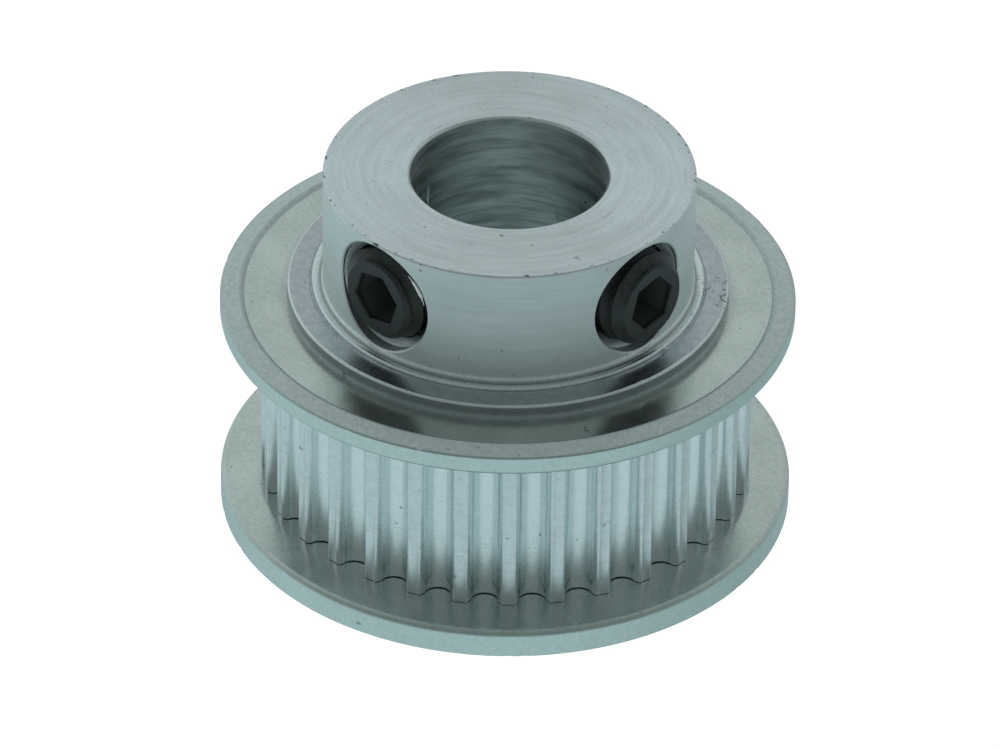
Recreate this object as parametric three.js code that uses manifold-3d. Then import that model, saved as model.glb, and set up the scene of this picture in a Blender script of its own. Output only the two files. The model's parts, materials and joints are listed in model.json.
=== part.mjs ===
// A timing belt pulley for a 2 mm pitch belt: a turned aluminium body with a toothed barrel and a
// clamping hub, two pressed side flanges held by a staked lip at each end of the barrel, and two
// hexagon socket set screws at right angles to each other in the hub.
// Millimetres, +Z along the bore axis towards the hub, origin on the axis at the lower end face.

import * as THREE from 'three';
import { mergeVertices } from 'three/addons/utils/BufferGeometryUtils.js';
import Module from 'manifold-3d';

// ---------------------------------------------------------------- driving dimensions

const TEETH = 32;
const PITCH = 2.0;
const PITCH_LINE_OFFSET = 0.254; // how far the belt's pitch line runs outside the tooth tips
const GROOVE_DEPTH = 0.75;
const GROOVE_RADIUS = 0.56; // round bottom of each tooth groove
const GROOVE_MOUTH = 1.36; // width of each groove where it opens at the tips
const TIP_ROUND = 0.15; // how far the rounded tooth corners reach down each flank

const OVERALL_LENGTH = 16.0;
const CHANNEL_WIDTH = 7.43; // between the two flanges, where the belt runs
const UPPER_LIP_HEIGHT = 0.58; // each staked lip, above the flange that it holds
const LOWER_LIP_HEIGHT = 0.56;
const LIP_RADIUS = 8.93;
const LIP_EDGE = 0.15; // bevel round each lip's end
const SEAT_RADIUS = 8.8; // where the flanges sit on the body
const SPREAD_DEPTH = 0.32; // how far inside the flange's outer face the lip starts to spread
const LIP_SPREAD = 0.27; // how far along the bore axis that spread takes

const HUB_RADIUS = 7.5;
const HUB_CHAMFER = 0.08;
const RIDGE_RADIUS = 7.92; // small turned step round the foot of the hub
const RIDGE_HEIGHT = 0.2;
const RIDGE_EDGE = 0.08;
const RIDGE_GROOVE_WIDTH = 0.12; // fine groove round the foot of that step
const BORE_RADIUS = 4.0;
const BORE_CHAMFER = 0.1;

const FLANGE_RADIUS = 11.65;
const UPPER_FLANGE_SHEET = 1.0;
const LOWER_FLANGE_SHEET = 1.22;
const FLANGE_CREASE_RADIUS = 10.67; // the outer face ramps up to its rim band from here
const FLANGE_BAND_RADIUS = 10.93; // to here
const FLANGE_BELT_CREASE_RADIUS = 10.2; // the belt side slopes away from the belt from here on
const FLANGE_DISH = 0.14; // how far the rim stands away from the belt
const FLANGE_ROLLED_EDGE = 0.26; // rounded belt-side corner of the rim
const FLANGE_OUTER_EDGE = 0.05; // small bevel on the rim's other corner
const FLANGE_MOUTH = 0.38; // rounded outer corner of the flange's hole, which the lip spreads into
const FLANGE_BORE_CLEARANCE = 0.02;

const SCREW_HEIGHT = 13.5; // the two screw axes above the lower end face
const SCREW_HOLE_RADIUS = 2.08;
const SCREW_MOUTH_RADIUS = 2.36; // wider entry of each screw hole
const SCREW_MOUTH_FLOOR = 7.0; // how far from the bore axis that entry ends
const SCREW_RADIUS = 2.0;
const SCREW_LENGTH = 3.0;
const SCREW_END_CHAMFER = 0.4;
const SCREW_TIP_RADIUS = 1.1;
const SCREW_TIP_TAPER = 0.6;
const SCREW_CUP_RADIUS = 0.8;
const SCREW_CUP_DEPTH = 0.35;
const SOCKET_ACROSS_FLATS = 2.0;
const SOCKET_DEPTH = 1.5;
const FRONT_SCREW_END = 7.6; // outer end of the screw that faces -Y, from the bore axis
const SIDE_SCREW_END = 7.95; // outer end of the screw that faces +X

const ROUND_SEGMENTS = 96; // a multiple of the tooth count, so rings and teeth line up
const SCREW_SEGMENTS = 32;

// heights that follow from the dimensions above
const LOWER_FLANGE_OUTER = LOWER_LIP_HEIGHT;
const CHANNEL_BOTTOM = LOWER_FLANGE_OUTER + LOWER_FLANGE_SHEET;
const CHANNEL_TOP = CHANNEL_BOTTOM + CHANNEL_WIDTH;
const UPPER_FLANGE_OUTER = CHANNEL_TOP + UPPER_FLANGE_SHEET;
const UPPER_LIP_TOP = UPPER_FLANGE_OUTER + UPPER_LIP_HEIGHT;
const TIP_RADIUS = (TEETH * PITCH) / (2 * Math.PI) - PITCH_LINE_OFFSET;
const ROOT_RADIUS = TIP_RADIUS - GROOVE_DEPTH;

// ---------------------------------------------------------------- materials

function metal(color, roughness, metalness) {
  return new THREE.MeshStandardMaterial({ color, roughness, metalness });
}

const turnedAluminium = () => metal(0xb4c0c2, 0.35, 0.9);
const flangeAluminium = () => metal(0xb2bcb8, 0.3, 0.9);
const blackOxideSteel = () => metal(0x1c1f21, 0.45, 0.6);

// ---------------------------------------------------------------- joining and cutting

const wasm = await Module();
wasm.setup();

/** A closed three.js geometry as a solid that can be joined and cut. */
function toSolid(geometry) {
  const bare = geometry.clone();
  bare.deleteAttribute('normal');
  bare.deleteAttribute('uv');
  const merged = mergeVertices(bare, 1e-5);
  return new wasm.Manifold(
    new wasm.Mesh({
      numProp: 3,
      vertProperties: new Float32Array(merged.attributes.position.array),
      triVerts: new Uint32Array(merged.index.array),
    })
  );
}

/** A solid back as a three.js geometry. */
function toGeometry(solid) {
  const mesh = solid.getMesh();
  const geometry = new THREE.BufferGeometry();
  geometry.setAttribute('position', new THREE.BufferAttribute(new Float32Array(mesh.vertProperties), 3));
  geometry.setIndex(new THREE.BufferAttribute(new Uint32Array(mesh.triVerts), 1));
  geometry.computeVertexNormals();
  return geometry;
}

// ---------------------------------------------------------------- outlines

/** Points on an arc about (cx, cy), from one angle to another, both ends included. */
function arc(cx, cy, radius, from, to, steps) {
  const points = [];
  for (let i = 0; i <= steps; i++) {
    const angle = from + ((to - from) * i) / steps;
    points.push(new THREE.Vector2(cx + radius * Math.cos(angle), cy + radius * Math.sin(angle)));
  }
  return points;
}

/** Turns a closed outline of [radius, height] points about the Z axis. */
function turned(outline, segments) {
  const points = outline.map((p) => (p.isVector2 ? p : new THREE.Vector2(p[0], p[1])));
  points.push(points[0].clone());
  const geometry = new THREE.LatheGeometry(points, segments);
  geometry.rotateX(Math.PI / 2);
  return mergeVertices(withoutShading(geometry), 1e-5);
}

function withoutShading(geometry) {
  geometry.deleteAttribute('normal');
  geometry.deleteAttribute('uv');
  return geometry;
}

/** One groove seen along the bore axis, as [distance from the axis, sideways] points. */
function grooveOutline() {
  const floorCentre = ROOT_RADIUS + GROOVE_RADIUS;
  const halfMouth = GROOVE_MOUTH / 2;
  const bottom = arc(floorCentre, 0, GROOVE_RADIUS, -Math.PI / 2, (-3 * Math.PI) / 2, 8);
  return [
    new THREE.Vector2(TIP_RADIUS, -halfMouth),
    new THREE.Vector2(TIP_RADIUS - TIP_ROUND, TIP_ROUND / 2 - halfMouth),
    ...bottom,
    new THREE.Vector2(TIP_RADIUS - TIP_ROUND, halfMouth - TIP_ROUND / 2),
    new THREE.Vector2(TIP_RADIUS, halfMouth),
  ];
}

/** The whole toothed outline: a land is centred on +X, and the grooves lie half a tooth from it. */
function toothedShape() {
  const groove = grooveOutline();
  const points = [];
  for (let tooth = 0; tooth < TEETH; tooth++) {
    const turn = ((tooth + 0.5) * 2 * Math.PI) / TEETH;
    for (const p of groove) {
      points.push(p.clone().rotateAround(new THREE.Vector2(), turn));
    }
  }
  return new THREE.Shape(points);
}

// ---------------------------------------------------------------- pulley body

/** Half section of the body without its teeth: bore, both lips and seats, barrel core, step, hub. */
function bodyOutline() {
  const core = ROOT_RADIUS - 0.1;
  const lip = UPPER_LIP_TOP;
  const step = lip + RIDGE_HEIGHT;
  const lowerSpread = LOWER_FLANGE_OUTER + SPREAD_DEPTH;
  const upperSpread = UPPER_FLANGE_OUTER - SPREAD_DEPTH;
  return [
    [BORE_RADIUS, BORE_CHAMFER],
    [BORE_RADIUS + BORE_CHAMFER, 0],
    [LIP_RADIUS - LIP_EDGE, 0],
    [LIP_RADIUS, LIP_EDGE],
    [LIP_RADIUS, lowerSpread - LIP_SPREAD],
    [SEAT_RADIUS, lowerSpread],
    [SEAT_RADIUS, CHANNEL_BOTTOM],
    [core, CHANNEL_BOTTOM],
    [core, CHANNEL_TOP],
    [SEAT_RADIUS, CHANNEL_TOP],
    [SEAT_RADIUS, upperSpread],
    [LIP_RADIUS, upperSpread + LIP_SPREAD],
    [LIP_RADIUS, lip - LIP_EDGE],
    [LIP_RADIUS - LIP_EDGE, lip],
    [RIDGE_RADIUS + RIDGE_GROOVE_WIDTH, lip],
    [RIDGE_RADIUS + RIDGE_GROOVE_WIDTH / 2, lip - RIDGE_EDGE],
    [RIDGE_RADIUS, lip],
    [RIDGE_RADIUS, step - RIDGE_EDGE],
    [RIDGE_RADIUS - RIDGE_EDGE, step],
    [HUB_RADIUS, step],
    [HUB_RADIUS, OVERALL_LENGTH - HUB_CHAMFER],
    [HUB_RADIUS - HUB_CHAMFER, OVERALL_LENGTH],
    [BORE_RADIUS + BORE_CHAMFER, OVERALL_LENGTH],
    [BORE_RADIUS, OVERALL_LENGTH - BORE_CHAMFER],
  ];
}

/** The toothed rim, as deep as the groove bottoms and a little way into the barrel core. */
function toothedRim() {
  const shape = toothedShape();
  shape.holes.push(new THREE.Path(arc(0, 0, SEAT_RADIUS - 0.4, 0, -2 * Math.PI, ROUND_SEGMENTS).slice(1)));
  const rim = new THREE.ExtrudeGeometry(shape, { depth: CHANNEL_WIDTH, bevelEnabled: false });
  rim.translate(0, 0, CHANNEL_BOTTOM);
  return rim;
}

/** Cutter for one screw hole: a wide entry and a narrower through hole, along +X. */
function screwHoleCutter() {
  const outside = HUB_RADIUS + 1;
  const cutter = turned(
    [
      [0, 0],
      [SCREW_HOLE_RADIUS, 0],
      [SCREW_HOLE_RADIUS, SCREW_MOUTH_FLOOR - (SCREW_MOUTH_RADIUS - SCREW_HOLE_RADIUS)],
      [SCREW_MOUTH_RADIUS, SCREW_MOUTH_FLOOR],
      [SCREW_MOUTH_RADIUS, outside],
      [0, outside],
    ],
    SCREW_SEGMENTS
  );
  cutter.rotateY(Math.PI / 2);
  cutter.translate(0, 0, SCREW_HEIGHT);
  return cutter;
}

function pulleyBody() {
  let solid = toSolid(turned(bodyOutline(), ROUND_SEGMENTS)).add(toSolid(toothedRim()));
  for (const turn of [0, -Math.PI / 2]) {
    solid = solid.subtract(toSolid(screwHoleCutter().rotateZ(turn)));
  }
  const body = new THREE.Mesh(toGeometry(solid), turnedAluminium());
  body.name = 'pulley_body';
  return body;
}

// ---------------------------------------------------------------- flanges

/** Half section of a flange: belt side at height 0, rim band set back from the belt, edges rounded. */
function flangeOutline(sheet) {
  const inner = SEAT_RADIUS + FLANGE_BORE_CLEARANCE;
  const slope = FLANGE_DISH / (FLANGE_RADIUS - FLANGE_BELT_CREASE_RADIUS);
  const edgeStart = FLANGE_RADIUS - FLANGE_ROLLED_EDGE;
  const edgeCentre = slope * (edgeStart - FLANGE_BELT_CREASE_RADIUS) + FLANGE_ROLLED_EDGE;
  const bandTop = sheet + FLANGE_DISH;
  return [
    [inner, 0],
    [FLANGE_BELT_CREASE_RADIUS, 0],
    ...arc(edgeStart, edgeCentre, FLANGE_ROLLED_EDGE, -Math.PI / 2, 0, 4),
    [FLANGE_RADIUS, bandTop - FLANGE_OUTER_EDGE],
    [FLANGE_RADIUS - FLANGE_OUTER_EDGE, bandTop],
    [FLANGE_BAND_RADIUS, bandTop],
    [FLANGE_CREASE_RADIUS, sheet],
    ...arc(inner + FLANGE_MOUTH, sheet - FLANGE_MOUTH, FLANGE_MOUTH, Math.PI / 2, Math.PI, 4),
  ];
}

function flange(name, sheet) {
  const mesh = new THREE.Mesh(turned(flangeOutline(sheet), ROUND_SEGMENTS), flangeAluminium());
  mesh.geometry.computeVertexNormals();
  mesh.name = name;
  return mesh;
}

function upperFlange() {
  const mesh = flange('upper_flange', UPPER_FLANGE_SHEET);
  mesh.position.z = CHANNEL_TOP;
  return mesh;
}

function lowerFlange() {
  const mesh = flange('lower_flange', LOWER_FLANGE_SHEET);
  mesh.rotation.x = Math.PI;
  mesh.position.z = CHANNEL_BOTTOM;
  return mesh;
}

// ---------------------------------------------------------------- set screws

/** A cup point set screw along +Z, its socket end at height 0 and its point below. */
function setScrewSolid() {
  const tip = -SCREW_LENGTH;
  const blank = turned(
    [
      [0, tip + SCREW_CUP_DEPTH],
      [SCREW_CUP_RADIUS, tip],
      [SCREW_TIP_RADIUS, tip],
      [SCREW_RADIUS, tip + SCREW_TIP_TAPER],
      [SCREW_RADIUS, -SCREW_END_CHAMFER],
      [SCREW_RADIUS - SCREW_END_CHAMFER, 0],
      [0, 0],
    ],
    SCREW_SEGMENTS
  );
  const cornerRadius = SOCKET_ACROSS_FLATS / Math.sqrt(3);
  const socket = new THREE.CylinderGeometry(cornerRadius, cornerRadius, SOCKET_DEPTH * 2, 6);
  socket.rotateX(Math.PI / 2);
  return toSolid(blank).subtract(toSolid(socket));
}

/** Places a screw in the hub: `turn` is the direction that its socket faces, about the bore axis. */
function setScrew(name, turn, outerEnd) {
  const screw = new THREE.Mesh(toGeometry(setScrewSolid()), blackOxideSteel());
  screw.name = name;
  screw.rotation.y = Math.PI / 2;
  screw.position.set(outerEnd, 0, SCREW_HEIGHT);
  const direction = new THREE.Group();
  direction.rotation.z = turn;
  direction.add(screw);
  return direction;
}

// ---------------------------------------------------------------- assembly

const pulley = new THREE.Group();
pulley.name = 'timing_belt_pulley';
pulley.add(pulleyBody());
pulley.add(upperFlange());
pulley.add(lowerFlange());
pulley.add(setScrew('set_screw_front', -Math.PI / 2, FRONT_SCREW_END));
pulley.add(setScrew('set_screw_side', 0, SIDE_SCREW_END));

export default pulley;
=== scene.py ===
"""Looks of a timing belt pulley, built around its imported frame. Blender 4.5, metres, +Z along the bore."""

import json
import math

import bpy
import numpy as np
from mathutils import Matrix, Vector


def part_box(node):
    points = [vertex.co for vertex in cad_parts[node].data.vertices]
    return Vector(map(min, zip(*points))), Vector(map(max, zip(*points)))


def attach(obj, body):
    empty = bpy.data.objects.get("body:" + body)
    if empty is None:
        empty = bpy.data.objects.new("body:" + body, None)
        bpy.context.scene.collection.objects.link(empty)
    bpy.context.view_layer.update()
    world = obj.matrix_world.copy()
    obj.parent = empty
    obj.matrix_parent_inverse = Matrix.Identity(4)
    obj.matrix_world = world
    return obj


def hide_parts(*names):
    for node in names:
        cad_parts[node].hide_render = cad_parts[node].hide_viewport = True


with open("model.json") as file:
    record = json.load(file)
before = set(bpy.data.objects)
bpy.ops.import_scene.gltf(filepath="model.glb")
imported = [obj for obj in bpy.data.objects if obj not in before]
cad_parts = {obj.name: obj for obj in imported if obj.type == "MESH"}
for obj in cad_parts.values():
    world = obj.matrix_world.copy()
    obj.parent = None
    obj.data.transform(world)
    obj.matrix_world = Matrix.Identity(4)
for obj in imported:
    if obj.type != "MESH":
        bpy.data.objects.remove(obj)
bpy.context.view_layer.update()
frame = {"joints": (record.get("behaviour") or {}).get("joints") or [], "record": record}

MM = 0.001
TAU = 2 * math.pi

# ---------------------------------------------------------------- sizes, in millimetres

BODY_LOW, BODY_HIGH = (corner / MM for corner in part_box("pulley_body"))
UPPER_LOW, UPPER_HIGH = (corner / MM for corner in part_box("upper_flange"))
LOWER_LOW, LOWER_HIGH = (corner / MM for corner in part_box("lower_flange"))

OVERALL_LENGTH = BODY_HIGH.z
TIP_RADIUS = BODY_HIGH.x
FLANGE_RADIUS = UPPER_HIGH.x
CHANNEL_BOTTOM = LOWER_HIGH.z
CHANNEL_TOP = UPPER_LOW.z
SCREW_HEIGHT = frame["joints"][0]["pos_m"][2] / MM

TEETH = 32
GROOVE_DEPTH = 0.75
GROOVE_RADIUS = 0.56
GROOVE_MOUTH = 1.4
TIP_ROUND = 0.14
ROOT_RADIUS = TIP_RADIUS - GROOVE_DEPTH
TOOTH_BEVEL = 0.04
TOOTH_RING_HOLD = 0.1  # a ring this near each end keeps the long faces flat in smooth shading
LAND_GAP = 0.012  # between the lower flange and the end of a tooth
GROOVE_GAP = 0.026  # how much more there is in a groove
GAP_WAVE = 0.011
UPPER_GAP = 0.02

FLANGE_DISH = 0.14
UPPER_SHEET = UPPER_HIGH.z - UPPER_LOW.z - FLANGE_DISH
LOWER_SHEET = LOWER_HIGH.z - LOWER_LOW.z - FLANGE_DISH
UPPER_OUTER = CHANNEL_TOP + UPPER_SHEET
LOWER_OUTER = CHANNEL_BOTTOM - LOWER_SHEET
FLANGE_POINTS = 960
FLANGE_BELT_CREASE_RADIUS = 10.2
FLANGE_BELT_CREASE_ROUND = 1.5
FLANGE_ROLLED_EDGE = 0.26
FLANGE_OUTER_EDGE = 0.07
UPPER_BAND_FALL = 0.19
LOWER_BAND_FALL = 0.04
FLANGE_BAND_RADIUS = 10.86
FLANGE_BAND_ROUND = 0.12
FLANGE_CREASE_RADIUS = 10.67
FLANGE_CREASE_ROUND = 0.05
FLANGE_HOLE_RADIUS = 8.82
FLANGE_MOUTH = 0.12
FLANGE_MOUTH_DEPTH = 0.04
FLANGE_MOUTH_ROUND = 0.02
RIM_WAVE = 0.006
DISH_WAVE = 0.012
NICKS = 16
NICK_REACH = 0.08  # how far in from the rim the nicks go
NICK_LOW = 0.8  # the share of the sheet's thickness that they stay above

FINE_ROUND = 0.03
EDGE_ROUND = 0.04
HUB_RADIUS = 7.5
HUB_ROUND = 0.07
BORE_RADIUS = 4.0
BORE_CHAMFER = 0.1
SEAT_RADIUS = 8.8
SEAT_OVERLAP = 0.1  # how far the ends of the teeth stand out past the flange's seat
SPREAD_DEPTH = 0.32
LIP_RADIUS = 8.92
LIP_SPREAD = 0.27
LOWER_LIP_ROUND = 0.14
UPPER_LIP_ROUND = 0.09
UPPER_LIP_TOP = UPPER_OUTER + 0.58
LIP_WAVE = 0.018
LIP_TOP_WAVE = 0.012
LIP_WAVE_REACH = 0.2
LIP_WAVE_START = 0.1  # how far out from the step the lip's top starts to wave
LIP_GROOVE_WIDTH = 0.12
LIP_GROOVE_DEPTH = 0.05
STEP_TOP = UPPER_LIP_TOP + 0.2
STEP_RADIUS = 7.92
STEP_TAPER = 0.02
STEP_WIDTH = 0.16
STEP_ROUND = 0.11
STEP_INNER_ROUND = 0.1
HUB_FOOT_WIDTH = 0.1
HUB_FOOT_DEPTH = 0.05
HUB_FOOT_RISE = 0.16
HUB_FOOT_ROUND = 0.12

SCREW_RADIUS = 1.99
SCREW_LENGTH = 3.0
SCREW_CHAMFER = 0.42
POINT_RADIUS = 1.0
CUP_RADIUS = 0.78
CUP_EDGE = 0.04
CUP_DEPTH = 0.34
SCREW_POINTS = 96
SCREW_STEPS_PER_PITCH = 20
THREAD_PITCH = 0.7
THREAD_DEPTH = 0.36
THREAD_GROOVE = (1.12, 2.5)  # how full the groove's outline is, and how steep its sides are
SOCKET_FLATS = 2.0
SOCKET_DEPTH = 1.5
SOCKET_DRILL_POINT = 0.45
SOCKET_BEVEL = 0.08
SOCKET_TURN = 12  # degrees
HOLE_POINTS = 96
HOLE_STEPS_PER_PITCH = 14
HOLE_THREAD_RADIUS = 2.07
HOLE_THREAD_DEPTH = 0.2
HOLE_THREAD_GROOVE = (1.25, 3.5)
HOLE_MOUTH_RADIUS = 2.36
HOLE_MOUTH_FLOOR = 7.0
HOLE_BEVEL = 0.07
HOLE_BEVEL_DEPTH = 0.06
CUTTER_MARGIN = 0.02

HOLE_BURR_TURNS = (14, 48)  # degrees round the hole's mouth
BORE_BURR_AZIMUTH = -124  # degrees from the camera's azimuth, as all the azimuths here are
BORE_BURR_LOW = 12.9
BORE_BURR_RISE = 0.95
LIP_BURR_AZIMUTH = 35
LIP_BURR_TURN = 4
STEP_BURR_AZIMUTH = 51
STEP_BURR_TURN = 3
HOLE_BURR_THICKNESS = 0.075
BORE_BURR_THICKNESS = 0.1
EDGE_BURR_THICKNESS = 0.06
BURR_FLATNESS = 0.6
WORN_AZIMUTH = 85
WORN_SIZE = 2.0

# ---------------------------------------------------------------- camera, floor and light

CAMERA_AZIMUTH = math.radians(43.7)
CAMERA_ELEVATION = math.radians(34.25)
CAMERA_ROLL = math.radians(0.91)
CAMERA_DISTANCE = 0.3672
CAMERA_LENS = 327.0
AIM_RIGHT = -0.00032  # the picture's centre, seen from the middle of the upper rim
AIM_UP = -0.00349
ROOM_ABOVE = (0.87, 0.99, 1.0, 1)
ROOM_BELOW = (0.80, 0.99, 1.02, 1)
ROOM_LIGHT = 0.62
ROOM_GLOW = 0.1  # how much brighter it is below
ROOM_DIM = 0.63  # how much of the light the photographer's side lacks above the horizon
ROOM_SIDE = 0.27  # how much it lacks low down on the far right
FLOOR_RADIUS = 0.9
FLOOR_HEIGHT = -0.02 * MM
FLOOR_POINTS = 96
FLOOR_COLOUR = (0.8, 0.72, 0.71, 1)
FLOOR_GLOW = 0.85

# ---------------------------------------------------------------- colours

# Each finish lies between a dark and a pale colour.
TURNED = (0.65, 0.71, 0.705, 1), (0.74, 0.80, 0.80, 1)
BORED = (0.36, 0.41, 0.405, 1), (0.90, 0.96, 0.95, 1)
FACED = (0.71, 0.76, 0.775, 1), (0.90, 0.95, 0.97, 1)
TOOTH_LANDS = (0.64, 0.70, 0.715, 1), (0.71, 0.78, 0.795, 1)
TOOTH_GROOVES = (0.72, 0.79, 0.80, 1), (0.82, 0.895, 0.905, 1)
WORN = (0.51, 0.555, 0.575, 1), (0.61, 0.65, 0.675, 1)
# Painted highlight colour for the bright lines, not a finish of the metal.
PAINTED_HIGHLIGHT = (0.78, 0.83, 0.84, 1), (0.95, 1.0, 1.0, 1)
TORN = (0.74, 0.80, 0.80, 1), (0.90, 0.95, 0.95, 1)
PRESSED = (0.61, 0.67, 0.63, 1), (0.77, 0.83, 0.79, 1)
SCUFFED = (0.545, 0.645, 0.625, 1), (0.605, 0.715, 0.695, 1)
BLASTED = (0.80, 0.89, 0.865, 1), (0.93, 1.0, 0.99, 1)
BLACKENED = (0.022, 0.03, 0.03, 1), (0.048, 0.058, 0.058, 1)

# Single colours, laid over the finishes.
# Painted light down in the screw's socket.
PAINTED_SOCKET_LIGHT = (0.10, 0.125, 0.125, 1)
# Painted shade for the body's hollows.
BODY_SHADE = (0.2, 0.22, 0.21, 1)
BODY_SPECKS = (0.14, 0.16, 0.17, 1)
# Painted shadow on the flange round its hole.
FLANGE_SHADE = (0.25, 0.27, 0.26, 1)
FLANGE_SPECKS = (0.15, 0.17, 0.17, 1)


# ---------------------------------------------------------------- node building

class Nodes:
    """A node tree put together one node at a time."""

    def __init__(self, tree):
        self.tree = tree
        self.tree.nodes.clear()

    def node(self, kind, **settings):
        made = self.tree.nodes.new(kind)
        for key, value in settings.items():
            setattr(made, key, value)
        return made

    def join(self, source, target):
        self.tree.links.new(source, target)

    def set(self, target, value):
        if isinstance(value, bpy.types.NodeSocket):
            self.join(value, target)
        else:
            target.default_value = value

    def math(self, operation, a, b=0.0, c=0.0):
        made = self.node("ShaderNodeMath", operation=operation)
        for socket, value in zip(made.inputs, (a, b, c)):
            self.set(socket, value)
        return made.outputs[0]

    def times(self, first, *others):
        """The product of its values, which for masks is where they all overlap."""
        for other in others:
            first = self.math("MULTIPLY", first, other)
        return first

    def largest(self, first, *others):
        """The largest of its values, which for masks is where any of them lies."""
        for other in others:
            first = self.math("MAXIMUM", first, other)
        return first

    def weighted(self, *parts):
        """The sum of parts, each given as (value, weight)."""
        first, *others = [self.math("MULTIPLY", value, weight) for value, weight in parts]
        for other in others:
            first = self.math("ADD", first, other)
        return first

    def between(self, value, low, high, out_low=0.0, out_high=1.0):
        """value carried from low..high to out_low..out_high with soft ends."""
        made = self.node("ShaderNodeMapRange", interpolation_type="SMOOTHSTEP")
        for socket, number in zip(made.inputs, (value, low, high, out_low, out_high)):
            self.set(socket, number)
        return made.outputs[0]

    def mix_colour(self, factor, first, second):
        made = self.node("ShaderNodeMix", data_type="RGBA")
        self.set(made.inputs[0], factor)
        self.set(made.inputs[6], first)
        self.set(made.inputs[7], second)
        return made.outputs[2]


class Recipe(Nodes):
    """A material with one shader. Lengths in it are millimetres."""

    def __init__(self, name):
        self.material = bpy.data.materials.new(name)
        self.material.use_nodes = True
        super().__init__(self.material.node_tree)
        self.shader = self.node("ShaderNodeBsdfPrincipled")
        output = self.node("ShaderNodeOutputMaterial")
        self.join(self.shader.outputs["BSDF"], output.inputs["Surface"])

    def vector(self):
        """The point on the surface, in the part's own frame."""
        coordinates = self.node("ShaderNodeTexCoord")
        scaled = self.node("ShaderNodeVectorMath", operation="SCALE")
        scaled.inputs["Scale"].default_value = 1 / MM
        self.join(coordinates.outputs["Object"], scaled.inputs[0])
        return scaled.outputs[0]

    def parts(self, vector):
        """The x, y and z of a vector."""
        made = self.node("ShaderNodeSeparateXYZ")
        self.join(vector, made.inputs[0])
        return made.outputs

    def from_axis(self, x, y):
        """The distance from the bore axis."""
        return self.math("SQRT", self.math("ADD", self.times(x, x), self.times(y, y)))

    def combine(self, x, y, z):
        made = self.node("ShaderNodeCombineXYZ")
        for socket, value in zip(made.inputs, (x, y, z)):
            self.set(socket, value)
        return made.outputs[0]

    def noise(self, vector, scale, detail=2.0, roughness=0.5, w=None):
        made = self.node("ShaderNodeTexNoise", noise_dimensions="3D" if w is None else "4D")
        self.join(vector, made.inputs["Vector"])
        made.inputs["Scale"].default_value = scale
        made.inputs["Detail"].default_value = detail
        made.inputs["Roughness"].default_value = roughness
        if w is not None:
            self.join(w, made.inputs["W"])
        return made.outputs[0]

    def turning(self, place, fineness, run):
        """Streaks that run round the bore axis: fine across, and shorter the larger `run` is. place is
        the point's x, y and z, and its distance from the axis."""
        x, y, z, radius = place
        safe = self.math("MAXIMUM", radius, 0.001)
        across = self.math("DIVIDE", x, safe)
        along = self.math("DIVIDE", y, safe)
        vector = self.combine(self.times(radius, fineness), self.times(z, fineness), self.times(across, run))
        return self.noise(vector, scale=1.0, detail=3.0, roughness=0.6, w=self.times(along, run))

    def pits(self, vector, scale, threshold):
        """1 inside small scattered dark specks, 0 elsewhere."""
        return self.between(self.noise(vector, scale), threshold, threshold + 0.07)

    def worn_patch(self, vector, middle, radius):
        """Crowded specks that thin out with distance from a point."""
        away = self.node("ShaderNodeVectorMath", operation="DISTANCE")
        self.join(vector, away.inputs[0])
        away.inputs[1].default_value = middle
        close = self.between(away.outputs["Value"], radius, 0.0)
        return self.times(close, self.pits(vector, scale=5.0, threshold=0.56))

    def bump(self, height, depth, normal=None):
        made = self.node("ShaderNodeBump")
        made.inputs["Strength"].default_value = 1.0
        made.inputs["Distance"].default_value = depth * MM
        self.join(height, made.inputs["Height"])
        if normal is not None:
            self.join(normal, made.inputs["Normal"])
        return made.outputs["Normal"]

    def finish(self, **values):
        """Sets the shader's sockets, named with _ for a space, and gives the material."""
        for name, value in values.items():
            self.set(self.shader.inputs[name.replace("_", " ")], value)
        return self.material


# ---------------------------------------------------------------- studio

def add_camera():
    a, e = CAMERA_AZIMUTH, CAMERA_ELEVATION
    right = Vector((math.cos(a), math.sin(a), 0))
    back = Vector((math.sin(a) * math.cos(e), -math.cos(a) * math.cos(e), math.sin(e)))
    up = back.cross(right)
    right, up = (
        right * math.cos(CAMERA_ROLL) + up * math.sin(CAMERA_ROLL),
        up * math.cos(CAMERA_ROLL) - right * math.sin(CAMERA_ROLL),
    )
    rim_centre = Vector((0, 0, UPPER_HIGH.z * MM))
    place = rim_centre + back * CAMERA_DISTANCE
    away = (place - (rim_centre + right * AIM_RIGHT + up * AIM_UP)).normalized()
    side = up.cross(away).normalized()
    turn = Matrix((side, away.cross(side), away)).transposed()
    data = bpy.data.cameras.new("camera")
    data.lens = CAMERA_LENS
    data.sensor_width = 36
    data.clip_start = 0.01
    data.clip_end = 10
    camera = bpy.data.objects.new("camera", data)
    camera.matrix_world = Matrix.Translation(place) @ turn.to_4x4()
    bpy.context.scene.collection.objects.link(camera)
    bpy.context.scene.camera = camera


def facing_camera(azimuth, elevation):
    """A direction given by its angles from the camera's own azimuth."""
    a, e = CAMERA_AZIMUTH + math.radians(azimuth), math.radians(elevation)
    return Vector((math.sin(a) * math.cos(e), -math.cos(a) * math.cos(e), math.sin(e)))


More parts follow.
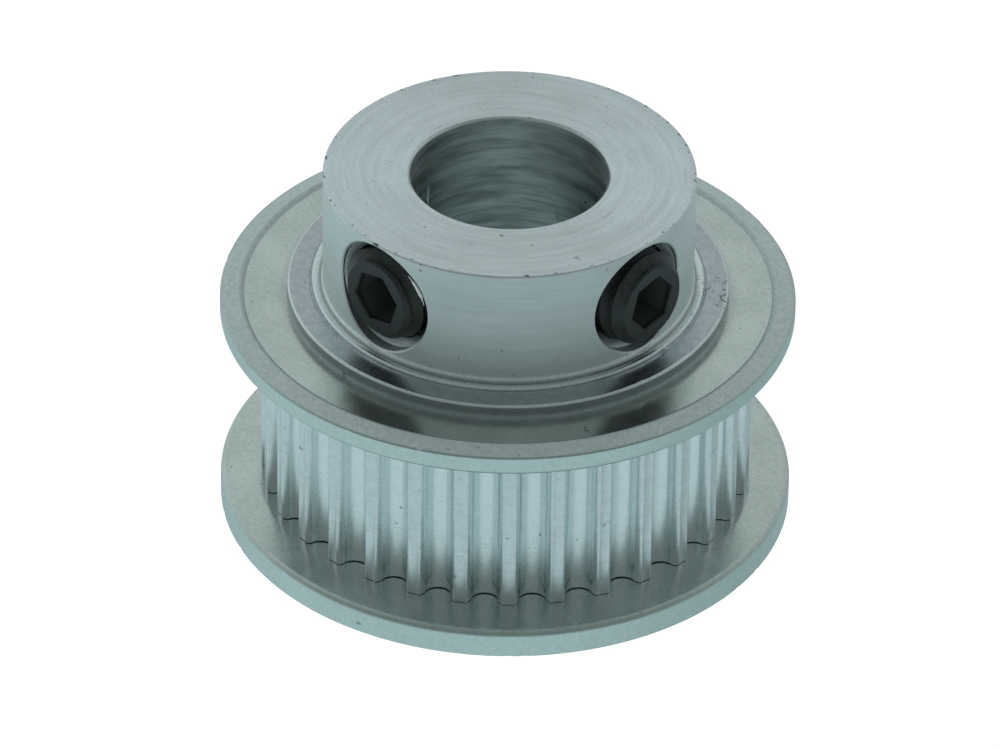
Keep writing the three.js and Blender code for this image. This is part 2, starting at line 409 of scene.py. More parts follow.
def add_surroundings():
    """A softly lit room: pale all round and below, but dim above on the photographer's side."""
    world = bpy.data.worlds.new("studio")
    bpy.context.scene.world = world
    world.use_nodes = True
    room = Nodes(world.node_tree)
    coordinates = room.node("ShaderNodeTexCoord")

    def near(direction, outer, inner):
        """1 within `inner` degrees of a direction, and 0 beyond `outer`."""
        towards = room.node("ShaderNodeVectorMath", operation="DOT_PRODUCT")
        towards.inputs[1].default_value = direction
        room.join(coordinates.outputs["Generated"], towards.inputs[0])
        low, high = math.cos(math.radians(outer)), math.cos(math.radians(inner))
        return room.between(towards.outputs["Value"], low, high)

    above = near((0, 0, 1), outer=112, inner=88)
    dim = room.times(near(facing_camera(azimuth=0, elevation=35), outer=125, inner=40), above)
    below = near((0, 0, -1), outer=95, inner=65)
    side = near(facing_camera(azimuth=140, elevation=-30), outer=95, inner=20)
    strength = room.times(
        room.math("MULTIPLY_ADD", dim, -ROOM_DIM, 1.0),
        room.math("MULTIPLY_ADD", below, ROOM_GLOW, 1.0),
        room.math("MULTIPLY_ADD", side, -ROOM_SIDE, 1.0),
        ROOM_LIGHT,
    )
    background = room.node("ShaderNodeBackground")
    output = room.node("ShaderNodeOutputWorld")
    room.join(room.mix_colour(below, ROOM_ABOVE, ROOM_BELOW), background.inputs["Color"])
    room.join(strength, background.inputs["Strength"])
    room.join(background.outputs["Background"], output.inputs["Surface"])


def add_floor():
    """A pale sheet that glows a little, like a light table, so that it casts hardly any shadow."""
    rim = ring(FLOOR_RADIUS, np.linspace(0, TAU, FLOOR_POINTS, endpoint=False), FLOOR_HEIGHT)
    mesh = bpy.data.meshes.new("studio_floor")
    mesh.from_pydata(rim.tolist(), [], [tuple(range(FLOOR_POINTS))])
    floor = bpy.data.objects.new("studio_floor", mesh)
    floor.visible_glossy = False
    bpy.context.scene.collection.objects.link(floor)
    material = bpy.data.materials.new("pale_floor")
    material.use_nodes = True
    shader = material.node_tree.nodes["Principled BSDF"]
    shader.inputs["Base Color"].default_value = FLOOR_COLOUR
    shader.inputs["Roughness"].default_value = 1.0
    shader.inputs["Specular IOR Level"].default_value = 0.0
    shader.inputs["Emission Color"].default_value = (1, 1, 1, 1)
    shader.inputs["Emission Strength"].default_value = FLOOR_GLOW
    mesh.materials.append(material)


def add_studio():
    bpy.context.scene.view_settings.view_transform = "Standard"
    add_camera()
    add_surroundings()
    add_floor()


# ---------------------------------------------------------------- mesh building

NEARLY_STRAIGHT = math.radians(89)  # half the angle of a corner that is left as it is
SHARP_ANGLE = math.radians(32)


def rounded(corners, steps, hold=0.03, share=0.45):
    """A closed outline with each corner (radius, height, fillet) rounded. A fillet takes at most
    `share` of the stretch on each side of it. Points held close to both ends of a fillet keep the flat
    stretches flat when they are shaded smooth."""
    points = []
    places = [np.array(c[:2], float) for c in corners]
    for i, corner in enumerate(corners):
        here, before, after = places[i], places[i - 1], places[(i + 1) % len(corners)]
        back, on = before - here, after - here
        back_length, on_length = np.linalg.norm(back), np.linalg.norm(on)
        back, on = back / back_length, on / on_length
        half = math.acos(np.clip(back @ on, -1, 1)) / 2
        if corner[2] <= 0 or half > NEARLY_STRAIGHT:
            points.append(here)
            continue
        taken = min(corner[2] / math.tan(half), share * back_length, share * on_length)
        radius = taken * math.tan(half)
        middle = (back + on) / np.linalg.norm(back + on)
        centre = here + middle * radius / math.sin(half)
        first, last = here + back * taken - centre, here + on * taken - centre
        sweep = math.acos(np.clip(first @ last / radius**2, -1, 1))
        if back_length > 3 * (taken + hold):
            points.append(here + back * (taken + hold))
        for k in range(steps + 1):
            t = k / steps
            mix = (math.sin((1 - t) * sweep) * first + math.sin(t * sweep) * last) / math.sin(sweep)
            points.append(centre + mix)
        if on_length > 3 * (taken + hold):
            points.append(here + on * (taken + hold))
    return np.array(points)


def skin(rings, closed=False, axis_ends=False):
    """Vertices and faces of rings joined one to the next. closed joins the last ring to the first,
    and axis_ends shuts both ends with a fan to the ring's middle."""
    count, size = len(rings), len(rings[0])
    vertices = np.concatenate(rings)
    j = np.arange(size)
    k = (j + 1) % size
    faces = []
    for i in range(count if closed else count - 1):
        a, b = i * size, ((i + 1) % count) * size
        faces += np.stack([a + j, a + k, b + k, b + j], 1).tolist()
    if axis_ends:
        first, last = len(vertices), len(vertices) + 1
        vertices = np.vstack([vertices, rings[0].mean(0), rings[-1].mean(0)])
        end = (count - 1) * size
        faces += np.stack([np.full(size, first), k, j], 1).tolist()
        faces += np.stack([np.full(size, last), end + j, end + k], 1).tolist()
    return vertices, faces


def shade(obj):
    obj.data.shade_smooth()
    obj.data.set_sharp_from_angle(angle=SHARP_ANGLE)


def add_object(name, vertices_mm, faces):
    mesh = bpy.data.meshes.new(name)
    mesh.from_pydata((vertices_mm * MM).tolist(), [], faces)
    mesh.update()
    obj = bpy.data.objects.new(name, mesh)
    bpy.context.scene.collection.objects.link(obj)
    shade(obj)
    return obj


def cut(obj, cutter):
    """Takes the cutter's solid out of the object, and removes the cutter."""
    modifier = obj.modifiers.new("cut", "BOOLEAN")
    modifier.operation = "DIFFERENCE"
    modifier.solver = "MANIFOLD"
    modifier.object = cutter
    depsgraph = bpy.context.evaluated_depsgraph_get()
    mesh = bpy.data.meshes.new_from_object(obj.evaluated_get(depsgraph))
    mesh.materials.clear()
    obj.modifiers.clear()
    old = obj.data
    obj.data = mesh
    bpy.data.meshes.remove(old)
    bpy.data.objects.remove(cutter)
    shade(obj)


def wander(angle, seed, waves, size):
    """A smooth irregularity that repeats once round the part, between -size and size."""
    draw = np.random.default_rng(seed)
    total = np.zeros_like(angle)
    for wave in waves:
        total += draw.uniform(0.5, 1) * np.sin(wave * angle + draw.uniform(0, TAU))
    return size * total / len(waves)


def ring(radius, angle, height):
    """Points round the bore axis."""
    radius = np.broadcast_to(radius, angle.shape)
    height = np.broadcast_to(height, angle.shape)
    return np.stack([radius * np.cos(angle), radius * np.sin(angle), height], 1)


def cross_ring(radius, turn, out):
    """Points round the X axis, `out` along it, for screws and their holes."""
    out = np.broadcast_to(out, turn.shape)
    return np.stack([out, radius * np.cos(turn), radius * np.sin(turn)], 1)


def thread_groove(out, turn, fullness, steepness):
    """How deep in a thread's groove a point lies, from 0 to 1."""
    phase = (out / THREAD_PITCH - turn / TAU) % 1.0
    return np.clip(fullness - np.abs(phase - 0.5) * steepness, 0, 1)


def place_across(obj, direction):
    """Turns a piece built along +X to the screw's direction, at the height of the screw's axis."""
    turn = math.atan2(direction.y, direction.x)
    obj.data.transform(Matrix.Translation((0, 0, SCREW_HEIGHT * MM)) @ Matrix.Rotation(turn, 4, "Z"))
    return obj


# ---------------------------------------------------------------- pulley body

def tooth_outline():
    """One tooth seen along the bore, from the middle of its land to the middle of the next, as
    (radius, angle) with the angle as a share of the tooth's own turn."""
    half_mouth = GROOVE_MOUTH / 2
    floor_centre = ROOT_RADIUS + GROOVE_RADIUS
    edge = np.array([TIP_RADIUS, -half_mouth])
    foot = np.array([floor_centre, -GROOVE_RADIUS])
    flank = (foot - edge) / np.linalg.norm(foot - edge)
    land = np.array([0.0, -1.0])
    half = math.acos(flank @ land) / 2
    reach = TIP_ROUND / math.tan(half)
    middle = edge + (flank + land) / np.linalg.norm(flank + land) * TIP_ROUND / math.sin(half)
    side = []
    for t in np.linspace(0, 1, 4):
        towards = (1 - t) * (edge + land * reach - middle) + t * (edge + flank * reach - middle)
        side.append(middle + towards / np.linalg.norm(towards) * TIP_ROUND)
    for turn in np.linspace(-math.pi / 2, -math.pi, 7):
        side.append([floor_centre + GROOVE_RADIUS * math.cos(turn), GROOVE_RADIUS * math.sin(turn)])
    side = np.array(side)
    other = side[::-1][1:] * [1, -1]
    groove = np.vstack([side, other])
    radius = np.hypot(groove[:, 0], groove[:, 1])
    angle = np.arctan2(groove[:, 1], groove[:, 0]) / (TAU / TEETH) + 0.5
    land_angles = np.array([0.0, 0.07])
    radius = np.concatenate([[TIP_RADIUS] * 2, radius, [TIP_RADIUS]])
    angle = np.concatenate([land_angles, angle, [1 - land_angles[1]]])
    return radius, angle


def body_corners():
    """Half section of the body, below the teeth and above them, as (radius, height, fillet)."""
    lower_spread = LOWER_OUTER + SPREAD_DEPTH
    upper_spread = UPPER_OUTER - SPREAD_DEPTH
    bottom = BODY_LOW.z
    return [
        (BORE_RADIUS, bottom + BORE_CHAMFER, EDGE_ROUND),
        (BORE_RADIUS + BORE_CHAMFER, bottom, EDGE_ROUND),
        (LIP_RADIUS, bottom, LOWER_LIP_ROUND),
        (LIP_RADIUS, lower_spread - LIP_SPREAD, FINE_ROUND),
        (SEAT_RADIUS, lower_spread, FINE_ROUND),
        (SEAT_RADIUS, CHANNEL_BOTTOM, 0),
    ], [
        (SEAT_RADIUS, CHANNEL_TOP, 0),
        (SEAT_RADIUS, upper_spread, FINE_ROUND),
        (LIP_RADIUS, upper_spread + LIP_SPREAD, FINE_ROUND),
        (LIP_RADIUS, UPPER_LIP_TOP, UPPER_LIP_ROUND),
        (STEP_RADIUS + LIP_GROOVE_WIDTH, UPPER_LIP_TOP, EDGE_ROUND),
        (STEP_RADIUS + LIP_GROOVE_WIDTH / 2, UPPER_LIP_TOP - LIP_GROOVE_DEPTH, FINE_ROUND),
        (STEP_RADIUS + STEP_TAPER, UPPER_LIP_TOP - STEP_TAPER, FINE_ROUND),
        (STEP_RADIUS, STEP_TOP, STEP_ROUND),
        (STEP_RADIUS - STEP_WIDTH, STEP_TOP - STEP_TAPER, STEP_INNER_ROUND),
        (HUB_RADIUS + HUB_FOOT_WIDTH, STEP_TOP - HUB_FOOT_DEPTH, EDGE_ROUND),
        (HUB_RADIUS, STEP_TOP + HUB_FOOT_RISE, HUB_FOOT_ROUND),
        (HUB_RADIUS, OVERALL_LENGTH, HUB_ROUND),
        (BORE_RADIUS + BORE_CHAMFER, OVERALL_LENGTH, EDGE_ROUND),
        (BORE_RADIUS, OVERALL_LENGTH - BORE_CHAMFER, EDGE_ROUND),
    ]


def toothed_rings(angle, toothed):
    """The teeth. Their lower ends stand a little off the flange, most in the grooves."""
    outline = ring(toothed, angle, 0)[:, :2]
    along = np.roll(outline, -1, 0) - np.roll(outline, 1, 0)
    inward = np.stack([-along[:, 1], along[:, 0]], 1) / np.linalg.norm(along, axis=1)[:, None]
    depth = (TIP_RADIUS - toothed) / GROOVE_DEPTH
    gap = LAND_GAP + GROOVE_GAP * depth + wander(angle, seed=8, waves=(1, 2, 4, 7), size=GAP_WAVE)
    lower = CHANNEL_BOTTOM + gap
    upper = np.full_like(angle, CHANNEL_TOP - UPPER_GAP)

    def inset(distance, height):
        return np.column_stack([outline + inward * distance, height])

    return [
        ring(SEAT_RADIUS + SEAT_OVERLAP, angle, lower),
        inset(TOOTH_BEVEL, lower),
        inset(0.3 * TOOTH_BEVEL, lower + 0.3 * TOOTH_BEVEL),
        inset(0, lower + TOOTH_BEVEL),
        inset(0, lower + TOOTH_BEVEL + TOOTH_RING_HOLD),
        inset(0, upper - TOOTH_BEVEL - TOOTH_RING_HOLD),
        inset(0, upper - TOOTH_BEVEL),
        inset(TOOTH_BEVEL, upper),
        ring(SEAT_RADIUS + SEAT_OVERLAP, angle, upper),
    ]


def body_rings():
    """The section carried round the bore, with the teeth between its two halves and a worn lip."""
    tooth_radius, tooth_angle = tooth_outline()
    turns = np.repeat(np.arange(TEETH), len(tooth_angle))
    angle = (np.tile(tooth_angle, TEETH) + turns) * TAU / TEETH
    toothed = np.tile(tooth_radius, TEETH)
    below, above = body_corners()
    outline = rounded(below + above, steps=3)
    hair = 0.001
    above_teeth = (outline[:, 1] > CHANNEL_TOP - hair) & (outline[:, 0] > SEAT_RADIUS - hair)
    lip_wave = wander(angle, seed=3, waves=(2, 3, 7, 11, 19), size=LIP_WAVE)
    top_wave = wander(angle, seed=5, waves=(3, 4, 9, 17), size=LIP_TOP_WAVE)
    rings = []
    for index, (radius, height) in enumerate(outline):
        if index == np.argmax(above_teeth):
            rings += toothed_rings(angle, toothed)
        near_top = UPPER_LIP_TOP - 2 * LIP_WAVE_REACH < height < UPPER_LIP_TOP + hair
        on_lip = near_top and radius > STEP_RADIUS + LIP_WAVE_START
        lift = lip_wave * (on_lip and radius > LIP_RADIUS - LIP_WAVE_REACH)
        drop = top_wave * (on_lip and height > UPPER_LIP_TOP - LIP_WAVE_REACH)
        rings.append(ring(radius + lift, angle, height + drop))
    return rings


def screw_hole_cutter(name, direction):
    """The space of one tapped hole: an open mouth that follows the round hub, then the thread. Its
    points lie half a step off the hole's middle plane, clear of the body's own points."""
    turn = (np.arange(HOLE_POINTS) + 0.5) * TAU / HOLE_POINTS
    outside_hub = HUB_RADIUS + 1.5
    inside_bore = BORE_RADIUS - 1.2

    def surface(radius):
        return np.sqrt(HUB_RADIUS**2 - (radius * np.cos(turn)) ** 2)

    wide = HOLE_MOUTH_RADIUS + HOLE_BEVEL
    sections = [
        (wide + CUTTER_MARGIN, outside_hub),
        (wide + CUTTER_MARGIN, surface(wide) + CUTTER_MARGIN),
        (HOLE_MOUTH_RADIUS, surface(HOLE_MOUTH_RADIUS) - HOLE_BEVEL_DEPTH),
        (HOLE_MOUTH_RADIUS - 0.01, HOLE_MOUTH_FLOOR),
    ]
    start = HOLE_MOUTH_FLOOR - (HOLE_MOUTH_RADIUS - HOLE_THREAD_RADIUS)
    for out in np.arange(start, inside_bore, -THREAD_PITCH / HOLE_STEPS_PER_PITCH):
        groove = thread_groove(out, turn, *HOLE_THREAD_GROOVE) * HOLE_THREAD_DEPTH
        fade = np.clip((start - out) / THREAD_PITCH, 0, 1)
        sections.append((HOLE_THREAD_RADIUS + groove * fade, out))
    rings = [cross_ring(radius, turn, out) for radius, out in sections]
    vertices, faces = skin(rings[::-1], axis_ends=True)
    return place_across(add_object(name, vertices, faces), direction)


def add_burr(name, path, thickness, seed):
    """A thin ragged curl of metal along a path, pointed at both ends."""
    draw = np.random.default_rng(seed)
    path = np.array(path)
    turn = np.linspace(0, TAU, 6, endpoint=False)[:, None]
    rings = []
    for i, point in enumerate(path):
        tangent = path[min(i + 1, len(path) - 1)] - path[max(i - 1, 0)]
        out = np.array([point[0], point[1], 0]) / np.hypot(point[0], point[1])
        side = np.cross(tangent, out)
        side /= np.linalg.norm(side)
        size = thickness * (0.1 + math.sin(math.pi * i / (len(path) - 1)) * draw.uniform(0.5, 1.2))
        rings.append(point + size * (np.cos(turn) * side + BURR_FLATNESS * np.sin(turn) * out))
    return add_object(name, *skin(rings, axis_ends=True))


def on_circle(azimuth, radius, height):
    """A point round the bore axis, by its angle from the camera's azimuth."""
    x, y, _ = facing_camera(azimuth, elevation=0) * radius
    return x, y, height


def burrs():
    """Four scraps that the cutter left, as (place, path, thickness)."""
    hole = []
    for turn in np.radians(np.linspace(*HOLE_BURR_TURNS, 14)):
        x, up = HOLE_MOUTH_RADIUS * math.cos(turn), HOLE_MOUTH_RADIUS * math.sin(turn)
        hole.append((x, -math.sqrt(HUB_RADIUS**2 - x * x) - 0.04, SCREW_HEIGHT + up))
    bore, lip, step = [], [], []
    for t in np.linspace(0, 1, 9):
        bore.append(on_circle(BORE_BURR_AZIMUTH, BORE_RADIUS - 0.03, BORE_BURR_LOW + BORE_BURR_RISE * t))
        lip.append(on_circle(LIP_BURR_AZIMUTH + LIP_BURR_TURN * t, LIP_RADIUS - 0.06, UPPER_LIP_TOP - 0.01))
        azimuth = STEP_BURR_AZIMUTH + STEP_BURR_TURN * t
        step.append(on_circle(azimuth, STEP_RADIUS + 0.1 * t, STEP_TOP - 0.06 - 0.1 * t))
    return (
        ("hole", hole, HOLE_BURR_THICKNESS),
        ("bore", bore, BORE_BURR_THICKNESS),
        ("lip", lip, EDGE_BURR_THICKNESS),
        ("step", step, EDGE_BURR_THICKNESS),
    )


def add_pulley_body():
    body = add_object("turned_body", *skin(body_rings(), closed=True))
    for index, joint in enumerate(frame["joints"]):
        cut(body, screw_hole_cutter(f"hole_{index}", Vector(joint["axis"])))
    pieces = [(body, turned_aluminium())]
    fresh = torn_aluminium()
    for seed, (place, path, thickness) in enumerate(burrs()):
        pieces.append((add_burr(place + "_burr", path, thickness, seed), fresh))
    for piece, material in pieces:
        piece.data.materials.append(material)
        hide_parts("pulley_body")
        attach(piece, "pulley")


# ---------------------------------------------------------------- flanges

def flange_corners(sheet, fall):
    """Half section of a flange with its belt side at height 0, as (radius, height, fillet). fall is
    how far the band on the outer side slopes down towards the rim."""
    return [
        (FLANGE_HOLE_RADIUS, 0, FINE_ROUND),
        (FLANGE_BELT_CREASE_RADIUS, 0, FLANGE_BELT_CREASE_ROUND),
        (FLANGE_RADIUS, FLANGE_DISH, FLANGE_ROLLED_EDGE),
        (FLANGE_RADIUS, sheet + FLANGE_DISH - fall, FLANGE_OUTER_EDGE),
        (FLANGE_BAND_RADIUS, sheet + FLANGE_DISH, FLANGE_BAND_ROUND),
        (FLANGE_CREASE_RADIUS, sheet, FLANGE_CREASE_ROUND),
        (FLANGE_HOLE_RADIUS + FLANGE_MOUTH, sheet, EDGE_ROUND),
        (FLANGE_HOLE_RADIUS, sheet - FLANGE_MOUTH_DEPTH, FLANGE_MOUTH_ROUND),
    ]


def nicks(angle, seed):
    """How far small knocks bite into the rim, at each angle."""
    draw = np.random.default_rng(seed)
    places = draw.uniform(0, TAU, NICKS)
    depths = draw.uniform(0.01, 0.025, NICKS)
    widths = draw.uniform(0.006, 0.014, NICKS)
    bite = np.zeros_like(angle)
    for place, depth, width in zip(places, depths, widths):
        away = (angle - place + math.pi) % TAU - math.pi
        bite += depth * np.exp(-((away / width) ** 2))
    return bite


def flange_rings(sheet, fall, seed):
    angle = np.linspace(0, TAU, FLANGE_POINTS, endpoint=False)
    edge_wave = wander(angle, seed, waves=(2, 3, 5, 9, 16, 31), size=RIM_WAVE)
    dish_wave = wander(angle, seed + 1, waves=(2, 3, 4), size=DISH_WAVE)
    rim_nicks = nicks(angle, seed + 100)
    rings = []
    for radius, height in rounded(flange_corners(sheet, fall), steps=6):
        share = np.clip((radius - FLANGE_CREASE_RADIUS) / (FLANGE_RADIUS - FLANGE_CREASE_RADIUS), 0, 1)
        bite = rim_nicks * (radius > FLANGE_RADIUS - NICK_REACH and height > sheet * NICK_LOW)
        level = height + share * dish_wave - bite * 0.5 * share
        level = np.minimum(level, sheet + FLANGE_DISH)
        wide = np.minimum(radius + share * (edge_wave - RIM_WAVE) - bite, FLANGE_RADIUS)
        rings.append(ring(wide, angle, level))
    return rings


def add_flange(node, belt_side, sheet, fall, up, seed):
    """A flange with its belt side at a height, and its outer side above that (up is 1) or below (-1)."""
    name = "pressed_" + node
    flange = add_object(name, *skin(flange_rings(sheet, fall, seed), closed=True))
    if up < 0:
        flange.data.transform(Matrix.Rotation(math.pi, 4, "X"))
    flange.data.transform(Matrix.Translation((0, 0, belt_side * MM)))
    flange.data.materials.append(pressed_aluminium(name + "_metal", belt_side, belt_side + up * sheet))
    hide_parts(node)
    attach(flange, "pulley")


# ---------------------------------------------------------------- set screws

def threaded_blank(name):
    """A cup point screw along +X with its outer end at 0, before its socket is cut."""
    turn = np.linspace(0, TAU, SCREW_POINTS, endpoint=False)
    flat_end = SCREW_RADIUS - SCREW_CHAMFER
    sections = [
        (0.02, -SCREW_LENGTH + CUP_DEPTH),
        (CUP_RADIUS, -SCREW_LENGTH + 0.02),
        (CUP_RADIUS + CUP_EDGE, -SCREW_LENGTH),
        (POINT_RADIUS, -SCREW_LENGTH),
    ]
    for out in np.arange(-SCREW_LENGTH + 0.02, -0.01, THREAD_PITCH / SCREW_STEPS_PER_PITCH):
        groove = thread_groove(out, turn, *THREAD_GROOVE) * THREAD_DEPTH
        point = POINT_RADIUS + (out + SCREW_LENGTH)
        chamfer = flat_end - out
        sections.append((np.minimum(SCREW_RADIUS - groove, min(point, chamfer)), out))
    sections += [(flat_end, 0.0), (flat_end - 0.03, 0.0)]
    rings = [cross_ring(radius, turn, out) for radius, out in sections]
    return add_object(name, *skin(rings, axis_ends=True))


def socket_cutter():
    """The hexagon socket: a bevelled mouth, six flats and a drilled point at the bottom."""
    corner = SOCKET_FLATS / math.sqrt(3)
    turn = np.linspace(0, TAU, 6, endpoint=False) + math.radians(SOCKET_TURN)
    sections = [
        (0.05, -SOCKET_DEPTH - SOCKET_DRILL_POINT),
        (corner * 0.86, -SOCKET_DEPTH),
        (corner, -SOCKET_DEPTH + 0.02),
        (corner, -0.06),
        (corner + SOCKET_BEVEL, 0.02),
        (corner + SOCKET_BEVEL, 0.5),
    ]
    rings = [cross_ring(radius, turn, out) for radius, out in sections]
    return add_object("socket", *skin(rings, axis_ends=True))


def add_set_screw(joint):
    node = frame["record"]["behaviour"]["bodies"][joint["child"]][0]
    direction = Vector(joint["axis"])
    outer_end = Vector(joint["pos_m"]).dot(direction)
    screw = threaded_blank("threaded_" + node)
    cut(screw, socket_cutter())
    screw.data.transform(Matrix.Translation((outer_end, 0, 0)))
    place_across(screw, direction)
    screw.data.materials.append(black_oxide(node + "_steel", direction, outer_end / MM))
    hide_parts(node)
    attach(screw, joint["child"])


# ---------------------------------------------------------------- materials

def turned_zones(r, z, radius):
    """Masks for the parts of the body that look different. The bright lines are painted highlights on the
    lip's brim, the small ridge and the foot of the hub. The hollows get painted shade: the inside of
    the ridge and, under the brim, the lip's wall."""
    top = r.between(z, OVERALL_LENGTH - 0.09, OVERALL_LENGTH - 0.03)
    teeth = r.times(
        r.between(radius, SEAT_RADIUS + 0.2, SEAT_RADIUS + 0.3),
        r.between(z, CHANNEL_TOP + 0.1, CHANNEL_TOP),
    )
    lip = r.times(
        r.between(radius, HUB_RADIUS, HUB_RADIUS + 0.15),
        r.between(z, UPPER_OUTER, UPPER_OUTER + 0.1),
    )
    wall = r.times(r.between(radius, LIP_RADIUS - 0.12, LIP_RADIUS - 0.04), lip)
    around_hub = r.between(radius, HUB_RADIUS - 0.4, HUB_RADIUS - 0.2)
    brim = r.times(wall, r.between(z, UPPER_LIP_TOP - 0.12, UPPER_LIP_TOP - 0.04))
    ridge = r.times(lip, r.between(z, UPPER_LIP_TOP + 0.03, UPPER_LIP_TOP + 0.1))
    foot = r.times(
        around_hub,
        r.between(z, STEP_TOP + 0.24, STEP_TOP + 0.15),
        r.between(z, STEP_TOP + 0.03, STEP_TOP + 0.09),
    )
    # painted shade in the crevice inside the ridge; with nothing bounding it from below, it also darkens a
    # ring of the lower end face
    crevice_shade = r.times(
        around_hub,
        r.between(radius, HUB_RADIUS + 0.22, HUB_RADIUS + 0.12),
        r.between(z, STEP_TOP + 0.06, STEP_TOP),
    )
    # painted shadow on the lip's wall under the brim
    brim_shadow = r.times(
        r.between(z, UPPER_LIP_TOP - 0.06, UPPER_LIP_TOP - 0.16),
        r.between(z, UPPER_OUTER + 0.05, UPPER_OUTER + 0.25),
        wall,
    )
    return {
        "bore": r.between(radius, BORE_RADIUS + 0.15, BORE_RADIUS + 0.05),
        "top": top,
        "hub_corner": r.times(r.between(radius, HUB_RADIUS - 0.2, HUB_RADIUS - 0.1), top),
        "lip": lip,
        "teeth": teeth,
        "grooves": r.times(teeth, r.between(radius, TIP_RADIUS - 0.05, TIP_RADIUS - 0.25)),
        # painted highlights on the brim, the ridge and the hub's foot
        "painted_highlights": r.largest(ridge, brim, foot),
        # painted shade in the hollows
        "painted_shade": r.largest(crevice_shade, brim_shadow),
    }


def turned_colour(r, vector, place, zone, coarse, grain):
    """The colour of each zone, with the painted highlights and the painted shade, without its specks and
    scratches.
    """
    broad = r.turning(place, fineness=1.3, run=1.1)
    cloud = r.noise(vector, scale=0.5, detail=3.0)
    mottle = r.noise(vector, scale=2.6, detail=3.0, roughness=0.6)
    tone = r.weighted((coarse, 0.35), (cloud, 0.2), (grain, 0.45))
    streak = r.weighted((coarse, 0.4), (broad, 0.6))
    colour = r.mix_colour(r.between(tone, 0.36, 0.64), *TURNED)
    for name, pattern, finish in (
        ("bore", r.between(streak, 0.36, 0.64), BORED),
        ("top", r.between(tone, 0.38, 0.62), FACED),
        ("lip", r.between(mottle, 0.35, 0.65), WORN),
        ("teeth", r.between(mottle, 0.3, 0.7), TOOTH_LANDS),
        ("grooves", mottle, TOOTH_GROOVES),
        # painted highlight colour on the bright lines
        ("painted_highlights", r.between(grain, 0.35, 0.65), PAINTED_HIGHLIGHT),
    ):
        colour = r.mix_colour(zone[name], colour, r.mix_colour(pattern, *finish))
    # Painted shade: the hollows are darkened towards BODY_SHADE.
    return r.mix_colour(r.times(zone["painted_shade"], 0.6), colour, BODY_SHADE)


def turned_knocks(r, vector, place, zone):
    """Specks all over and more at the hub's corner, scratches on its top, and a worn patch of the lip."""
    scratches = r.times(r.between(r.turning(place, fineness=7.0, run=1.6), 0.66, 0.72), zone["top"])
    worn_place = Vector(on_circle(WORN_AZIMUTH, LIP_RADIUS - 0.1, UPPER_LIP_TOP))
    return r.largest(
        r.times(r.pits(vector, scale=2.2, threshold=0.71), 0.6),
        r.times(zone["hub_corner"], r.pits(vector, scale=3.0, threshold=0.6)),
        r.times(scratches, 0.5),
        r.worn_patch(vector, worn_place, WORN_SIZE),
    )


def turned_aluminium():
    """Bare aluminium with turning marks: smooth bright teeth, a worn lip and a streaky bore."""
    r = Recipe("turned_aluminium")
    vector = r.vector()
    x, y, z = r.parts(vector)
    radius = r.from_axis(x, y)
    place = (x, y, z, radius)
    zone = turned_zones(r, z, radius)
    fine = r.turning(place, fineness=14.0, run=2.5)
    coarse = r.turning(place, fineness=4.0, run=1.4)
    grain = r.noise(vector, scale=8.0, detail=4.0, roughness=0.7)
    colour = turned_colour(r, vector, place, zone, coarse, grain)
    rough = r.math("ADD", r.between(fine, 0.25, 0.75, 0.34, 0.42), r.between(grain, 0.3, 0.8, 0.0, 0.06))
    for name, change in (("teeth", -0.16), ("lip", -0.19), ("top", -0.08)):
        rough = r.math("MULTIPLY_ADD", zone[name], change, rough)
    marks = r.bump(r.times(fine, r.math("SUBTRACT", 1.0, zone["teeth"])), depth=0.0035)
    marks = r.bump(r.times(coarse, zone["bore"]), depth=0.012, normal=marks)
    marks = r.bump(r.times(grain, zone["lip"]), depth=0.008, normal=marks)
    return r.finish(
        Base_Color=r.mix_colour(turned_knocks(r, vector, place, zone), colour, BODY_SPECKS),
        Metallic=1.0,
        Anisotropic=0.75,
        Anisotropic_Rotation=0.25,
        Roughness=rough,
        Normal=r.bump(grain, depth=0.002, normal=marks),
    )


def torn_aluminium():
    """Fresh bright metal where the cutter tore it."""
    r = Recipe("torn_aluminium")
    grain = r.noise(r.vector(), scale=12.0, detail=3.0, roughness=0.7)
    return r.finish(
        Base_Color=r.mix_colour(r.between(grain, 0.3, 0.7), *TORN),
        Metallic=0.7,
        Roughness=r.between(grain, 0.3, 0.7, 0.35, 0.6),
        Normal=r.bump(grain, depth=0.01),
    )


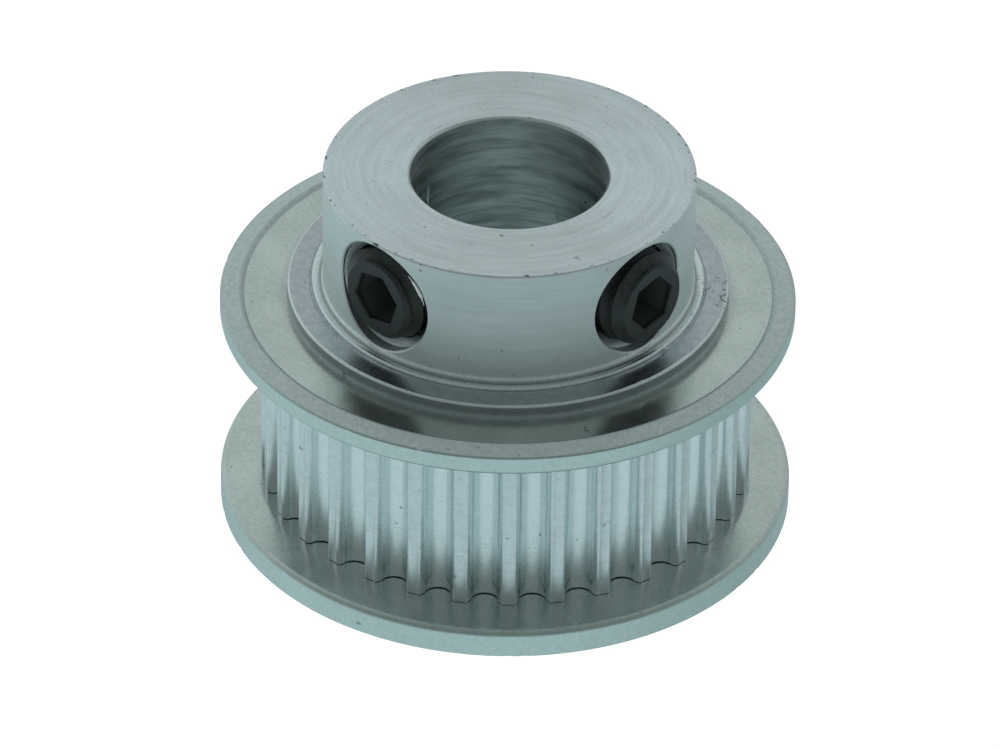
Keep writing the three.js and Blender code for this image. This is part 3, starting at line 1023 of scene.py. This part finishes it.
def pressed_aluminium(name, belt_side, outer_side):
    """Smooth sheet, with a rough mottled band round its outer face, scuffed edges and a painted shadow round
    the hole on its outer face.
    """
    r = Recipe(name)
    vector = r.vector()
    x, y, z = r.parts(vector)
    radius = r.from_axis(x, y)
    cloud = r.noise(vector, scale=0.5, detail=3.0)
    grain = r.noise(vector, scale=5.0, detail=3.0, roughness=0.6)
    fine = r.noise(vector, scale=14.0, detail=3.0, roughness=0.6)
    across = r.math("DIVIDE", r.math("SUBTRACT", z, belt_side), outer_side - belt_side)
    outside = r.between(across, 0.6, 0.85)
    edge = r.between(radius, FLANGE_CREASE_RADIUS - 0.05, FLANGE_CREASE_RADIUS + 0.1)
    rim = r.between(radius, FLANGE_RADIUS - 0.12, FLANGE_RADIUS - 0.04)
    band = r.times(edge, outside, r.math("SUBTRACT", 1.0, rim))
    # painted shadow on the outer face round the hole, beside the lip
    mouth = r.times(r.between(radius, SEAT_RADIUS + 0.6, SEAT_RADIUS + 0.2), outside)

    tone = r.weighted((cloud, 0.35), (grain, 0.3), (fine, 0.35))
    colour = r.mix_colour(r.between(tone, 0.4, 0.6), *PRESSED)
    scuffed = r.mix_colour(r.between(grain, 0.3, 0.7), *SCUFFED)
    blasted = r.mix_colour(r.between(grain, 0.35, 0.65), *BLASTED)
    colour = r.mix_colour(rim, colour, scuffed)
    colour = r.mix_colour(band, colour, blasted)
    # painted shadow: a fifth of the way towards FLANGE_SHADE
    colour = r.mix_colour(r.times(mouth, 0.2), colour, FLANGE_SHADE)
    specks = r.times(r.pits(vector, scale=2.0, threshold=0.72), 0.6)

    plain = r.between(cloud, 0.3, 0.7, 0.2, 0.27)
    dents = r.bump(r.times(r.math("ADD", grain, fine), band), depth=0.032)
    return r.finish(
        Base_Color=r.mix_colour(specks, colour, FLANGE_SPECKS),
        Metallic=r.math("MULTIPLY_ADD", band, -0.45, 1.0),
        Roughness=r.math("MULTIPLY_ADD", band, 0.26, r.math("MULTIPLY_ADD", rim, 0.08, plain)),
        Normal=r.bump(grain, depth=0.003, normal=dents),
    )


def black_oxide(name, direction, outer_end):
    """Dull black steel. Down in the socket it is painted paler: painted light that lifts the socket's shade.
    """
    r = Recipe(name)
    vector = r.vector()
    x, y, z = r.parts(vector)
    sideways = r.math("ADD", r.times(x, direction.y), r.times(y, direction.x))
    upward = r.math("SUBTRACT", z, SCREW_HEIGHT)
    off_axis = r.math("ADD", r.times(sideways, sideways), r.times(upward, upward))
    along = r.math("ADD", r.times(x, direction.x), r.times(y, direction.y))
    deep = r.between(r.math("SUBTRACT", outer_end, along), 0.1, 0.4)
    # painted light: the socket is painted paler to lift its shade
    socket = r.times(deep, r.between(off_axis, 1.8, 1.5))
    grain = r.noise(vector, scale=5.0, detail=4.0, roughness=0.7)
    colour = r.mix_colour(r.between(grain, 0.35, 0.75), *BLACKENED)
    return r.finish(
        Base_Color=r.mix_colour(socket, colour, PAINTED_SOCKET_LIGHT),
        Metallic=0.4,
        Roughness=r.between(grain, 0.3, 0.8, 0.38, 0.58),
        Normal=r.bump(grain, depth=0.004),
    )


# ---------------------------------------------------------------- assembly

add_studio()
add_pulley_body()
add_flange("upper_flange", CHANNEL_TOP, UPPER_SHEET, UPPER_BAND_FALL, up=1, seed=21)
add_flange("lower_flange", CHANNEL_BOTTOM, LOWER_SHEET, LOWER_BAND_FALL, up=-1, seed=43)
for joint in frame["joints"]:
    add_set_screw(joint)
